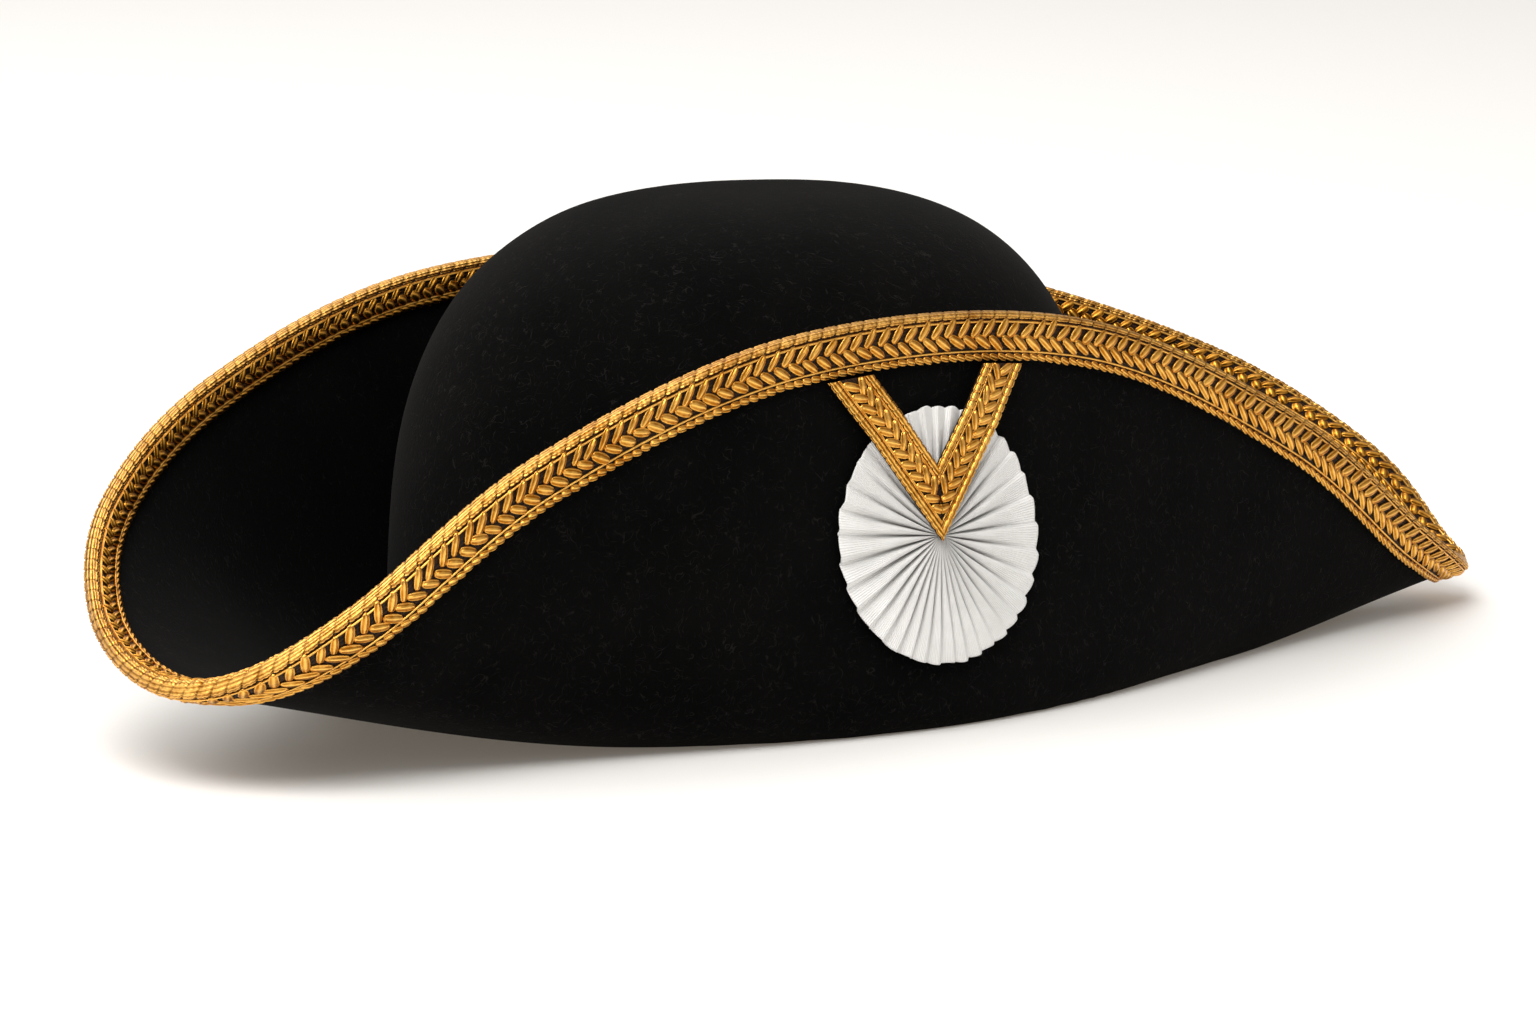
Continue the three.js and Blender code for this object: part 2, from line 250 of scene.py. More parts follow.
def pole_faces(rows, columns):
    """The triangles that close a grid at its first and its last row. Their poles are the two points after
    the grid's own."""
    around = np.arange(columns)
    following = (around + 1) % columns
    pole, last = rows * columns, (rows - 1) * columns
    first = np.stack([np.full(columns, pole), following, around], axis=1)
    second = np.stack([np.full(columns, pole + 1), last + around, last + following], axis=1)
    return np.concatenate([first, second])


def enclosed(points, faces):
    """The volume inside closed faces: each triangle makes a tetrahedron with the origin, whose volume is
    its corners' a . (b x c) / 6. A face of four corners is two triangles."""
    first, *others = (points[corner] for corner in faces.T)
    return sum((first * np.cross(b, c)).sum() / 6 for b, c in zip(others, others[1:]))


def make_piece(name, points, groups, uvs):
    """A mesh in metres from points in millimetres. A group holds faces with the same number of corners.
    Where the faces turn inwards, so that the volume is below zero, they are turned round."""
    mesh = bpy.data.meshes.new(name)
    if sum(enclosed(points, group) for group in groups) < 0:
        groups = [group[:, ::-1] for group in groups]
        uvs = [uv[..., ::-1, :] for uv in uvs]
    sizes = np.concatenate([np.full(len(group), group.shape[1]) for group in groups])
    corners = np.concatenate([group.ravel() for group in groups])
    mesh.vertices.add(len(points))
    mesh.vertices.foreach_set("co", (points * MM).astype(np.float32).ravel())
    mesh.loops.add(len(corners))
    mesh.loops.foreach_set("vertex_index", corners.astype(np.int32))
    mesh.polygons.add(len(sizes))
    starts = np.concatenate([[0], np.cumsum(sizes)[:-1]])
    mesh.polygons.foreach_set("loop_start", starts.astype(np.int32))
    mesh.polygons.foreach_set("use_smooth", np.full(len(sizes), True))
    flat = np.concatenate([uv.reshape(-1, 2) for uv in uvs]).astype(np.float32)
    mesh.uv_layers.new(name="thread").data.foreach_set("uv", flat.ravel())
    mesh.update(calc_edges=True)
    mesh.validate()
    piece = bpy.data.objects.new(name, mesh)
    bpy.context.scene.collection.objects.link(piece)
    print(name, int((sizes - 2).sum()), "triangles")
    return piece


def tube_piece(name, rings, uv_size, wrap=True):
    """A tube through a grid of rings: closed along its length, or with a pole at each end."""
    rows, columns = rings.shape[:2]
    quads, corners = grid_faces(rows, columns, wrap)
    points = rings.reshape(-1, 3)
    scale = np.array([uv_size[0] / rows, uv_size[1] / columns])
    faces, uvs = [quads], [corners * scale]
    if not wrap:
        ends = np.stack([rings[0].mean(axis=0), rings[-1].mean(axis=0)])
        points = np.concatenate([points, ends])
        faces.append(pole_faces(rows, columns))
        uvs.append(np.zeros((2 * columns, 3, 2)))
    return make_piece(name, points, faces, uvs)


# %% [markdown]
# ## The felt
# The felt is one skin with a real wall, so it is made as two faces half a wall either side of the middle
# surface, joined at the edge under the lace. A Solidify modifier could do the same, but then the underside
# could not be pressed flat where the hat stands. Long slow waves of a fraction of a millimetre keep the felt
# from looking machined.

# %% Build the felt
section_count = 360
crown_climbs = np.radians(np.concatenate([
    np.linspace(88.5, 76, 8)[:-1],
    np.linspace(76, 20, 34)[:-1],
    np.linspace(20, 4.2, 14),
]))
fold_rows = 7
brim_rows = 60
wave_height = 0.18
wave_free_height = 25
edge_overhang = 0.35


def felt_middle(angle):
    """Rows of the middle surface in each section: the crown from the top down, a small round fold at the
    head line as a quadratic curve, and the brim out to its edge."""
    crown = np.stack([crown_surface(angle, climb + 0 * angle) for climb in crown_climbs], axis=1)
    width = np.interp(angle, np.append(table_angles, math.tau), np.append(brim_widths, brim_widths[0]))
    shares = np.linspace(0, 1, brim_rows) ** 1.15
    lip = rim_thickness + seat_gap
    depths = blend((width - fold_size)[:, None], lip, shares[None, :])
    picked = (angle / math.tau * table_rows).round().astype(int) % table_rows
    brim = np.empty((len(angle), brim_rows, 3))
    for i, row in enumerate(picked):
        for axis in range(3):
            order = brim_from_edge[row][::-1]
            brim[i, :, axis] = np.interp(depths[i], order, brim_lines[row][::-1, axis])
    start, end = crown[:, -1:], brim[:, :1]
    corner = crown_surface(angle, 0 * angle)[:, None]
    t = np.linspace(0, 1, fold_rows + 2)[None, 1:-1, None]
    fold = (1 - t) ** 2 * start + 2 * t * (1 - t) * corner + t ** 2 * end
    return np.concatenate([crown, fold, brim], axis=1)


def slow_waves(points):
    """A sum of three sines of the place, in millimetres, for the unevenness that steam leaves."""
    x, y, z = points[..., 0], points[..., 1], points[..., 2]
    waves = np.sin(x / 31 + y / 23 + 1.3) * np.sin(z / 17 + x / 43)
    waves += 0.6 * np.sin(x / 13 - y / 19 + z / 29 + 0.4)
    waves += 0.4 * np.sin(x / 7.3 + z / 9.1 + 2.1) * np.sin(y / 8.7 + 0.5)
    return waves


def felt_piece():
    """Both faces of the felt. The waves fade towards the table and towards the edge, and neither face goes
    below its height over the table."""
    angle = np.arange(section_count) * math.tau / section_count
    middle = felt_middle(angle)
    around = np.roll(middle, -1, axis=0) - np.roll(middle, 1, axis=0)
    down = np.gradient(middle, axis=1)
    normal = unit(np.cross(down, around))
    lift = np.clip(middle[..., 2:3] / wave_free_height, 0, 1)
    rows = middle.shape[1]
    near_edge = np.clip((rows - 1 - np.arange(rows)) / 10, 0, 1)[None, :, None]
    moved = middle + normal * wave_height * slow_waves(middle)[..., None] * lift * near_edge
    faces = []
    for side, lowest in ((1, felt_wall), (-1, 0)):
        face = moved + side * normal * felt_wall / 2
        face[..., 2] = np.maximum(face[..., 2], lowest)
        faces.append(np.moveaxis(face, 1, 0))
    edge = (moved[:, -1] + unit(middle[:, -1] - middle[:, -2]) * edge_overhang)[None]
    rings = np.concatenate([faces[0], edge, faces[1][::-1]]) + hat_shift
    return tube_piece("black_felt_hat", rings, rings.shape[:2], wrap=False)


felt = felt_piece()
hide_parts("felt_body")
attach(felt, "root")

# %% [markdown]
# ## The lace over the edge
# The lace is woven of gilt thread: a bound cord on the fold, a thin line cord, two rows of plump strands laid
# as arrowheads, a second line cord, and a border of small loops. A flat ribbon with a bump map would look
# like a printed stripe at this size, so each cord and each strand is its own closed form. They lie on a thin
# dark ribbon that fills the gaps.

# %% Sizes of the lace
lace_depth = 13
inside_lace_depth = 9
ribbon_far = felt_wall / 2 + seat_gap + 0.75
strand_pitch = 4.5
strand_count = int(round(edge_total / strand_pitch))
pitch = edge_total / strand_count
# One row for each face: its side of the felt, where its arrowheads point, and the depths of its parts.
lace_faces = [
    {"face": "outside", "side": -1, "heads": 1,
     "line": 2.5, "spine": 6.4, "reach": 3.6, "second": 10.3, "loops": 11.8},
    {"face": "inside", "side": 1, "heads": -1,
     "line": 2.45, "spine": 4.95, "reach": 2.3, "second": 7.45, "loops": 8.35},
]
# The rows of strands point towards the rim and away from it. Each has its share of the arrowheads' lean, of a
# pitch along the edge, and half its strands' width.
strand_rows = [
    {"row": "rim_row", "sign": -1, "lean": 1.16, "start": 0.0, "half_width": 1.3},
    {"row": "lower_row", "sign": 1, "lean": 0.84, "start": 0.5, "half_width": 1.38},
]
arrow_lean = math.radians(42)
strand_half_height, strand_arch, strand_fullness = 0.72, 0.16, 0.42
loop_half_width, loop_half_height, loop_fullness, loop_tilt = 1.0, 0.6, 0.34, 0.28
rim_inset, rim_half_depth, rim_half_height, rim_sides = 1.3, 1.5, 2.45, 18
line_half_depth, line_half_height, line_sides = 0.42, 0.4, 6
loop_pitch = 2.9
loop_count = int(round(edge_total / loop_pitch))
along_count = 1150
rim_map_height = 12
ribbon_map_height = 40
line_cord_map_height = 2.2
along = np.arange(along_count) * edge_total / along_count


# %% The ribbon under the cords
def ribbon_ring():
    """A thin U in section: down the outside, round the fold, and down the face towards the crown."""
    near, far = felt_wall / 2 + seat_gap, ribbon_far
    outer = [(lace_depth - 0.4, -1), (10, -1), (7, -1), (4, -1), (1.9, -1), (0.7, -0.7), (0.4, 0)]
    inner = [(0.7, 0.7), (1.9, 1), (4, 1), (6.5, 1), (inside_lace_depth - 0.4, 1)]
    outline = [(depth, side * far) for depth, side in outer + inner]
    back = [(inside_lace_depth - 0.4, near), (5, near), (1.75, near), (1.4, 0), (1.75, -near), (6, -near)]
    back += [(lace_depth - 0.4, -near)]
    return np.array(outline + back)


section = ribbon_ring()
rings = on_brim(along[:, None], section[None, :, 0], section[None, :, 1])
ribbon = tube_piece("lace_ribbon", rings, (edge_total, ribbon_map_height))


# %% A cord along the edge
def cord_rings(distance, off, half_depth, half_height, sides, count=along_count, ridge=None):
    """A round or oval section carried along the edge. A ridge function of length and turn swells it."""
    length = np.arange(count) * edge_total / count
    turn = np.arange(sides) * math.tau / sides
    swell = 1 if ridge is None else ridge(length[:, None], turn[None, :])
    depth = distance + swell * half_depth * np.cos(turn)[None, :]
    height = off + swell * half_height * np.sin(turn)[None, :]
    return on_brim(length[:, None], depth, height)


def wound_ridge(length, turn):
    """The rim cord is bound at every strand: a slanting groove, narrow and rounded."""
    phase = (length / pitch + 2 * turn / math.tau) % 1
    groove = np.exp(-((phase - 0.5) / 0.085) ** 2)
    strands = 0.045 * np.sin(math.tau * (3 * length / pitch + 2 * turn / math.tau))
    return 1 - 0.24 * groove + strands


rings_to_a_strand = 18
rim_rings = cord_rings(
    rim_inset, 0, rim_half_depth, rim_half_height, rim_sides, strand_count * rings_to_a_strand, wound_ridge,
)
rim = tube_piece("rim_cord", rim_rings, (edge_total, rim_map_height))
line_cords = []
for lace in lace_faces:
    for where in ("line", "second"):
        off = lace["side"] * (ribbon_far + 0.12)
        cord = cord_rings(lace[where], off, line_half_depth, line_half_height, line_sides)
        name = f"line_cord_{lace['face']}_{where}"
        line_cords.append(tube_piece(name, cord, (edge_total, line_cord_map_height)))


# %% [markdown]
# ### Strands and loops
# A strand is a leaf: a spindle that is fat in the middle and pointed at both ends. All strands of a row are
# worked out at once: the leaf is a small grid of rings, and numpy repeats it along the edge.

# %% Leaves
leaf_rings = 6
leaf_sides = 8


def leaves(name, middles, directions, sizes, offs, place, fullness, arch=0.0):
    """Each leaf has a middle (along, in), a direction on the felt and a height off it, and its sizes are half
    its length, width and height. Its points are middle + direction * step + sideways * width, where the
    width is the cosine of the step raised to a power, and place() puts them on the hat."""
    count = len(middles)
    step = np.linspace(-1, 1, leaf_rings + 2)[None, 1:-1, None]
    width = np.cos(step * math.pi / 2) ** fullness
    turn = (np.arange(leaf_sides) * math.tau / leaf_sides)[None, None, :]
    half_length, half_width, half_height = (np.broadcast_to(size, (count,))[:, None, None] for size in sizes)
    sideways = np.stack([-directions[:, 1], directions[:, 0]], axis=1)
    forward = step * half_length + 0 * turn
    side = width * np.cos(turn) * half_width
    rise = width * np.sin(turn) * half_height + arch * (1 - step ** 2)
    a, b = (
        middles[:, i, None, None] + directions[:, i, None, None] * forward + sideways[:, i, None, None] * side
        for i in (0, 1)
    )
    body = place(a, b, offs[:, None, None], rise)
    ends = half_length[:, :, 0] * np.array([-1, 1])
    tips_a, tips_b = (middles[:, i, None] + directions[:, i, None] * ends for i in (0, 1))
    tips = place(tips_a, tips_b, offs[:, None], np.zeros_like(tips_a))
    per_leaf = leaf_rings * leaf_sides + 2
    points = np.concatenate([body.reshape(count, -1, 3), tips], axis=1).reshape(-1, 3)
    quads, corners = grid_faces(leaf_rings, leaf_sides, False)
    caps = pole_faces(leaf_rings, leaf_sides)
    shift = (np.arange(count) * per_leaf)[:, None, None]
    quads_all = (quads[None] + shift).reshape(-1, 4)
    caps_all = (caps[None] + shift).reshape(-1, 3)
    leaf_uv = np.broadcast_to(corners / [leaf_rings, leaf_sides], (count, len(quads), 4, 2)).copy()
    cap_uv = np.zeros((count, len(caps), 3, 2))
    for uv in (leaf_uv, cap_uv):
        uv[..., 0] += np.arange(count)[:, None, None]
    return make_piece(name, points, [quads_all, caps_all], [leaf_uv, cap_uv])


chance = np.random.default_rng(17)
strands = []
for lace in lace_faces:
    side, heads = lace["side"], lace["heads"]
    number = np.arange(strand_count)

    def lace_place(a, b, off, rise, side=side):
        return on_brim(a, b, side * (off + rise))

    for row in strand_rows:
        sign = row["sign"]
        half = lace["reach"] / math.sin(arrow_lean) * 0.60
        turn = arrow_lean * row["lean"] + chance.normal(0, 0.06, strand_count)
        directions = np.stack([heads * np.cos(turn), sign * np.sin(turn)], axis=1)
        start = number * pitch + row["start"] * pitch + chance.normal(0, 0.16, strand_count)
        middles = np.stack([
            start + heads * math.cos(arrow_lean) * half,
            lace["spine"] + sign * (np.sin(turn) * half - 0.35) + chance.normal(0, 0.07, strand_count),
        ], axis=1)
        offs = np.full(strand_count, ribbon_far + 0.05) + chance.uniform(-0.08, 0.12, strand_count)
        half_lengths = half * chance.uniform(0.98, 1.12, strand_count)
        half_widths = row["half_width"] * chance.uniform(0.9, 1.12, strand_count)
        strands.append(leaves(
            f"strands_{lace['face']}_{row['row']}", middles, directions,
            (half_lengths, half_widths, strand_half_height), offs, lace_place, strand_fullness, strand_arch,
        ))
    tilt = heads * (loop_tilt + chance.normal(0, 0.05, loop_count))
    directions = np.stack([np.cos(tilt), np.sin(tilt)], axis=1)
    middles = np.stack([
        np.arange(loop_count) * edge_total / loop_count + chance.normal(0, 0.08, loop_count),
        lace["loops"] + chance.normal(0, 0.08, loop_count),
    ], axis=1)
    strands.append(leaves(
        f"loops_{lace['face']}", middles, directions, (loop_pitch * 0.61, loop_half_width, loop_half_height),
        np.full(loop_count, ribbon_far + 0.02), lace_place, loop_fullness,
    ))

# %% Fit the lace to the hat
lace_pieces = [ribbon, rim, *line_cords, *strands]
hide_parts("edge_braid")
for piece in lace_pieces:
    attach(piece, "root")

# %% [markdown]
# ## Places on the front flap
# The cockade and its strap lie flat over the front flap. They are drawn on paper, across and up from the
# cockade's middle, and each drawn point is then found on the curved felt: Newton's method moves the guess of
# angle and distance from the edge until the point lies straight behind the drawn one.

# %% Find places on the flap
cockade_x, cockade_z = -12.2, 50.7
cockade_radius = 33.2
guess_turns = 14


def outside_face(angle, distance):
    return at_angle(angle, distance, np.full_like(distance, -felt_wall / 2)) - hat_shift


def find_on_flap(origin, across, rise, wanted):
    """Newton's method in two unknowns, for all points at once: the two misses are divided by the slopes
    measured with a small step in angle and in distance."""
    angle = np.full(wanted.shape[:-1], -math.pi / 2)
    distance = np.full(wanted.shape[:-1], 52.0)
    small = np.array([0.01, 1.0])

    def miss(angle, distance):
        away = outside_face(angle, distance) - origin
        return np.stack([away @ across, away @ rise], axis=-1) - wanted

    for _ in range(guess_turns):
        here = miss(angle, distance)
        turned = (miss(angle + small[0], distance) - here) / small[0]
        moved = (miss(angle, distance + small[1]) - here) / small[1]
        scale = turned[..., 0] * moved[..., 1] - turned[..., 1] * moved[..., 0]
        angle = angle - (here[..., 0] * moved[..., 1] - here[..., 1] * moved[..., 0]) / scale
        distance = distance - (turned[..., 0] * here[..., 1] - turned[..., 1] * here[..., 0]) / scale
        distance = np.clip(distance, 0.5, 110)
    return angle, distance


upward = np.array([0.0, 0, 1])
rightward = np.array([1.0, 0, 0])
cockade_middle = np.array([cockade_x, cockade_z])
centre_angle, centre_distance = find_on_flap(np.zeros(3), rightward, upward, cockade_middle)
flap_origin = outside_face(centre_angle, centre_distance)
flap_away = -unit(look_up(brim_normals, centre_angle, centre_distance))
flap_across = unit(np.cross(upward, flap_away))
flap_rise = np.cross(flap_away, flap_across)


def over_flap(across_by, rise_by, height):
    """The flap's outside face behind a drawn point, then straight out by the height."""
    across_by, rise_by, height = np.broadcast_arrays(across_by, rise_by, height)
    wanted = np.stack([across_by, rise_by], axis=-1)
    angle, distance = find_on_flap(flap_origin, flap_across, flap_rise, wanted)
    return outside_face(angle, distance) + flap_away * height[..., None] + hat_shift, distance


# %% [markdown]
# ## The cockade
# A cockade is a ribbon of stiff white silk laid in knife pleats and pulled together at the middle, so each
# pleat is a wedge that leans over the next. It is made as a disc in polar form: the height is a wave round
# the disc, with round ridges and deep grooves at the middle that turn to shallower leaning steps at the rim,
# where each pleat's cut end also steps inward.

# %% Build the cockade
pleat_count = 37
pleat_steps = 16
silk_thickness = 0.35
side_spread = 0.22
silk_ridge, silk_climb = 2.25, 0.65
peak_place, peak_spread = 0.74, 0.05
size_spread, reach_spread = 0.16, 0.22
cockade_thickness = 1.2
pleat_height = 1.3
middle_pleat_share = 0.35


def pleat_places():
    """The pleats are narrower at the bottom and wider at the sides: the share of the pleats passed at a turn
    is (turn - spread/2 * sin 2 turn) / full turn. The turns at even phases are read back from that."""
    fine = np.linspace(0, math.tau, 4001)
    passed = pleat_count * (fine - side_spread / 2 * np.sin(2 * fine)) / math.tau
    phase = np.arange(pleat_count * pleat_steps) / pleat_steps
    return np.interp(phase, passed, fine), phase


def cockade_piece():
    """The height over the felt is a wave round the disc. Near the middle it is a row of round ridges with
    narrow deep grooves, 1 - |2p - 1| to a power. At the rim it is a knife pleat: a long slope up and a short
    one down. The two are blended by the distance from the middle."""
    turn, phase = pleat_places()
    around = len(turn)
    number = np.floor(phase).astype(int)
    part = phase - number
    size = chance.normal(1, size_spread, pleat_count)[number]
    reach = chance.normal(0, reach_spread, pleat_count)[number]
    peak = np.clip(chance.normal(peak_place, peak_spread, pleat_count), 0.6, 0.86)[number]
    share = np.concatenate([[0.02, 0.05], np.linspace(0.08, 0.965, 42), [0.985, 1.0]])[:, None]
    round_ridge = 1 - np.abs(2 * part - 1) ** 2.4
    slope = np.minimum(part / peak, (1 - part) / (1 - peak))
    knife = slope ** 1.15 * (1 - 0.18 * slope * slope) / 0.82
    mixing = np.clip((share - 0.32) / 0.5, 0, 1)
    wave = blend(round_ridge ** 1.3, knife, mixing * mixing * (3 - 2 * mixing))
    ridge = silk_ridge + silk_climb * share
    lowest = seat_gap + silk_thickness
    at_rim = 0.32 + 0.3 * (1 - np.cos(turn)) / 2
    towards_rim = np.clip((share - 0.4) / 0.45, 0, 1)
    depth = (ridge - lowest) * (1 - np.exp(-share / 0.06)) * blend(1, at_rim, towards_rim)
    slack = 0.14 * np.sin(2 * turn + 1.0) + 0.1 * np.sin(5 * turn + 2.2)
    deep = depth * blend(1, np.clip(size, 0.6, 1.25), np.clip(share * 2, 0, 1))
    front = np.maximum(ridge - deep * (1 - wave) + slack * share ** 2, lowest)
    scallop = 0.6 * (1 - slope) ** 1.8 + 0.15 * slope
    radius = share * (cockade_radius + 0.2 - (scallop - reach * np.sin(part * math.pi)))
    front_points, _ = over_flap(radius * np.cos(turn), radius * np.sin(turn), front)
    thick = blend(1.0, silk_thickness, np.clip((share - 0.5) / 0.3, 0, 1))
    back = np.maximum(front - thick, seat_gap)
    back_points, _ = over_flap(radius * np.cos(turn), radius * np.sin(turn), back)
    rings = np.concatenate([front_points, back_points[::-1]])
    piece = tube_piece("pleated_cockade", rings, (1, 1), wrap=False)
    corner_points = np.empty(len(piece.data.loops), dtype=np.int32)
    piece.data.loops.foreach_get("vertex_index", corner_points)
    rows = np.concatenate([share[:, 0], share[::-1, 0], [0, 0]]) * cockade_radius
    row = np.minimum(corner_points // around, len(rows) - 1)
    on_grid = corner_points < 2 * len(share) * around
    ribs = phase[np.where(on_grid, corner_points % around, 0)]
    uv = np.stack([ribs, rows[row]], axis=1).astype(np.float32)
    piece.data.uv_layers["thread"].data.foreach_set("uv", uv.ravel())
    return piece


cockade = cockade_piece()
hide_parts("cockade")
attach(cockade, "root")

# %% [markdown]
# ## The V strap
# The strap that holds the cockade is a narrow lace of the same make, folded to a mitre at its point: two flat
# bound borders, a thin line cord inside each of them, and arrowheads down the middle. It is drawn as two arms
# that share the mitre line, so a cord carried down one arm turns the corner and goes up the other.

# %% Sizes of the strap
strap_width = 12.4
strap_slants = {-1: math.radians(36.5), 1: math.radians(38.3)}
strap_tip = np.array([-0.7, -1.8])
strap_seat = 0.55
strap_lift = 0.35
strap_slope = 30
strap_end_gap = 0.7
strap_ribbon_map = (130, 26)
block_length = 2.5
strap_lean = math.radians(37)
strap_reach, strap_pitch_share = 2.9, 0.86
strap_strand_half_width, strap_strand_half_height, strap_strand_off = 1.3, 0.75, 0.7
both_slants = sum(strap_slants.values())
notch = strap_tip + strap_width / math.sin(both_slants) * np.array([
    math.sin(strap_slants[1]) - math.sin(strap_slants[-1]),
    math.cos(strap_slants[-1]) + math.cos(strap_slants[1]),
])
arm_direction, arm_sideways = {}, {}
for arm, slant in strap_slants.items():
    arm_direction[arm] = np.array([arm * math.sin(slant), math.cos(slant)])
    arm_sideways[arm] = np.array([-arm * math.cos(slant), math.sin(slant)])


def strap_under(across_by, rise_by):
    """The strap's underside: over the pleats' ridges, then down to the felt beyond the cockade."""
    radius = np.hypot(across_by, rise_by)
    climb = middle_pleat_share + (1 - middle_pleat_share) * np.clip(radius / cockade_radius, 0, 1)
    ridges = seat_gap + cockade_thickness + pleat_height * climb
    share = np.clip((radius - cockade_radius - 1) / strap_slope, 0, 1)
    return blend(ridges + strap_seat + strap_lift, strap_seat, share)


def arm_length(arm, from_outer):
    """How far an arm runs from the tip before it meets the lace on the edge, by halving."""
    low, high = np.zeros_like(from_outer), np.full_like(from_outer, 95.0)
    for _ in range(18):
        middle = (low + high) / 2
        place = strap_tip + arm_direction[arm] * middle[:, None] + arm_sideways[arm] * from_outer[:, None]
        _, distance = over_flap(place[:, 0], place[:, 1], 0.0)
        inside = distance > lace_depth + strap_end_gap
        low, high = np.where(inside, middle, low), np.where(inside, high, middle)
    return low


outer_samples = np.linspace(0, strap_width, 5)
arm_ends = {arm: arm_length(arm, outer_samples) for arm in (-1, 1)}
strap_length = float(arm_ends[-1].max() + arm_ends[1].max())
print("arm lengths", {arm: ends.round(1) for arm, ends in arm_ends.items()})


def arm_limits(arm, from_outer):
    """Where a line this far in from the outer border leaves the mitre, and where it meets the lace."""
    mitre = ((notch - strap_tip) @ arm_direction[arm]) * from_outer / strap_width
    return mitre, np.interp(from_outer, outer_samples, arm_ends[arm])


def on_strap(arm, run, from_outer, height):
    """A place on an arm: along it from the tip, in from its outer border, and over its underside. Places
    short of the mitre line or past the lace are moved back to them."""
    run = np.clip(run, *arm_limits(arm, from_outer))
    x = strap_tip[0] + arm_direction[arm][0] * run + arm_sideways[arm][0] * from_outer
    y = strap_tip[1] + arm_direction[arm][1] * run + arm_sideways[arm][1] * from_outer
    points, _ = over_flap(x, y, strap_under(x, y) + height)
    return points


def round_the_mitre(inward, count, section):
    """Rings down the left arm, round the mitre and up the right arm. The section function gives each ring's
    places from its run: in from the outer border, and over the underside."""
    share = np.linspace(0, 1, count)[:, None]
    rings = []
    for arm in (-1, 1):
        mitre, longest = arm_limits(arm, inward)
        run = blend(mitre[None, :], longest[None, :], share)
        across, height = section(run)
        ring = on_strap(arm, run, across + 0 * run, height + 0 * run)
        rings.append(ring[::-1] if arm < 0 else ring[1:])
    return np.concatenate(rings)


def strap_cord(name, from_outer, half_width, half_height, off, sides, count, ridge=None):
    """An oval section carried round the mitre. A ridge function of run and turn swells it."""
    turn = np.arange(sides) * math.tau / sides

    def section(run):
        swell = 1 if ridge is None else ridge(run, turn[None, :])
        across = from_outer + swell * half_width * np.cos(turn)[None, :]
        return across, off + swell * half_height * np.sin(turn)[None, :]

    rings = round_the_mitre(from_outer + half_width * np.cos(turn), count, section)
    return tube_piece(name, rings, (strap_length, 4 * (half_width + half_height)), wrap=False)


def bound_ridge(run, turn):
    """The borders are bound like the rim: a slanting groove across every block."""
    phase = (run / block_length + 0.12 * np.cos(turn)) % 1
    return 1 - 0.3 * np.exp(-((phase - 0.5) / 0.11) ** 2)


def strap_ribbon():
    """The thin ribbon under the cords, a little narrower than the strap and round at its sides."""
    outline = [(0.35, 0.0), (0.35, 0.5), (3, 0.62), (strap_width / 2, 0.62), (strap_width - 3, 0.62)]
    outline += [(strap_width - 0.35, 0.5), (strap_width - 0.35, 0.0), (strap_width / 2, 0.0)]
    inward, height = np.array(outline).T
    rings = round_the_mitre(inward, 60, lambda run: (inward[None, :], height[None, :]))
    return tube_piece("strap_ribbon", rings, strap_ribbon_map, wrap=False)


# %% Build the strap
strap_base = strap_ribbon()
strap_pieces = [strap_base]
# Each cord's place in from the outer border, its half width, half height, height off, sides and rings.
border = {"half": 1.3, "high": 0.62, "off": 0.72, "sides": 10, "rings": 280, "ridge": bound_ridge}
line = {"half": 0.34, "high": 0.36, "off": 0.78, "sides": 6, "rings": 90, "ridge": None}
strap_cords = {
    "strap_border_outer": {"in": 1.45, **border},
    "strap_line_outer": {"in": 3.05, **line},
    "strap_line_inner": {"in": 9.35, **line},
    "strap_border_inner": {"in": 10.95, **border},
}
for name, cord in strap_cords.items():
    strap_pieces.append(strap_cord(name, *cord.values()))
for arm, arm_name in ((-1, "left"), (1, "right")):
    count = int(1.25 * (int(arm_ends[arm].max() / pitch) + 2))

    def strap_place(a, b, off, rise, arm=arm):
        return on_strap(arm, a, b, off + rise)

    for row, sign in (("outer", -1), ("inner", 1)):
        half = strap_reach / math.sin(strap_lean) * 0.62
        start = strap_pitch_share / 2 * pitch if sign > 0 else 0
        run = (np.arange(count) + 0.2) * pitch * strap_pitch_share + start
        turn = strap_lean + chance.normal(0, 0.1, count)
        directions = np.stack([np.cos(turn), sign * np.sin(turn)], axis=1)
        middles = np.stack([
            run + math.cos(strap_lean) * half,
            np.full(count, strap_width / 2 + sign * (math.sin(strap_lean) * half - 0.4)),
        ], axis=1)
        mitre, longest = arm_limits(arm, middles[:, 1])
        kept = (middles[:, 0] > mitre - 0.4) & (middles[:, 0] < longest + 0.6)
        sizes = (half * 1.06, strap_strand_half_width, strap_strand_half_height)
        strap_pieces.append(leaves(
            f"strap_strands_{arm_name}_{row}", middles[kept], directions[kept], sizes,
            np.full(int(kept.sum()), strap_strand_off), strap_place, fullness=0.38, arch=strand_arch,
        ))
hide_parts("cockade_loop")
for piece in strap_pieces:
    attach(piece, "root")

# %% [markdown]
# ## Finishes
# Three kinds of finish cover the hat. Felt is matt black wool with short pale hairs lying every way. Gilt
# thread is metal wound on a core: warm and a little rough, with painted shade in the gaps and at the
# bindings, and a darker, painted-shade copy on the inside face. Ribbon is silk with fine ribs and painted
# shade in its grooves. A graph of nodes is long to write out, so small helpers make each node in one line.

# %% Node helpers
def fill(tree, node, inputs):
    """Each input gets another node's output, which is linked, or a plain value."""
    for key, value in inputs.items():
        if isinstance(value, bpy.types.NodeSocket):
            tree.links.new(value, node.inputs[key])
        else:
            node.inputs[key].default_value = value


def add_node(tree, kind, inputs, **settings):
    node = tree.nodes.new("ShaderNode" + kind)
    for key, value in settings.items():
        setattr(node, key, value)
    fill(tree, node, inputs)
    return node


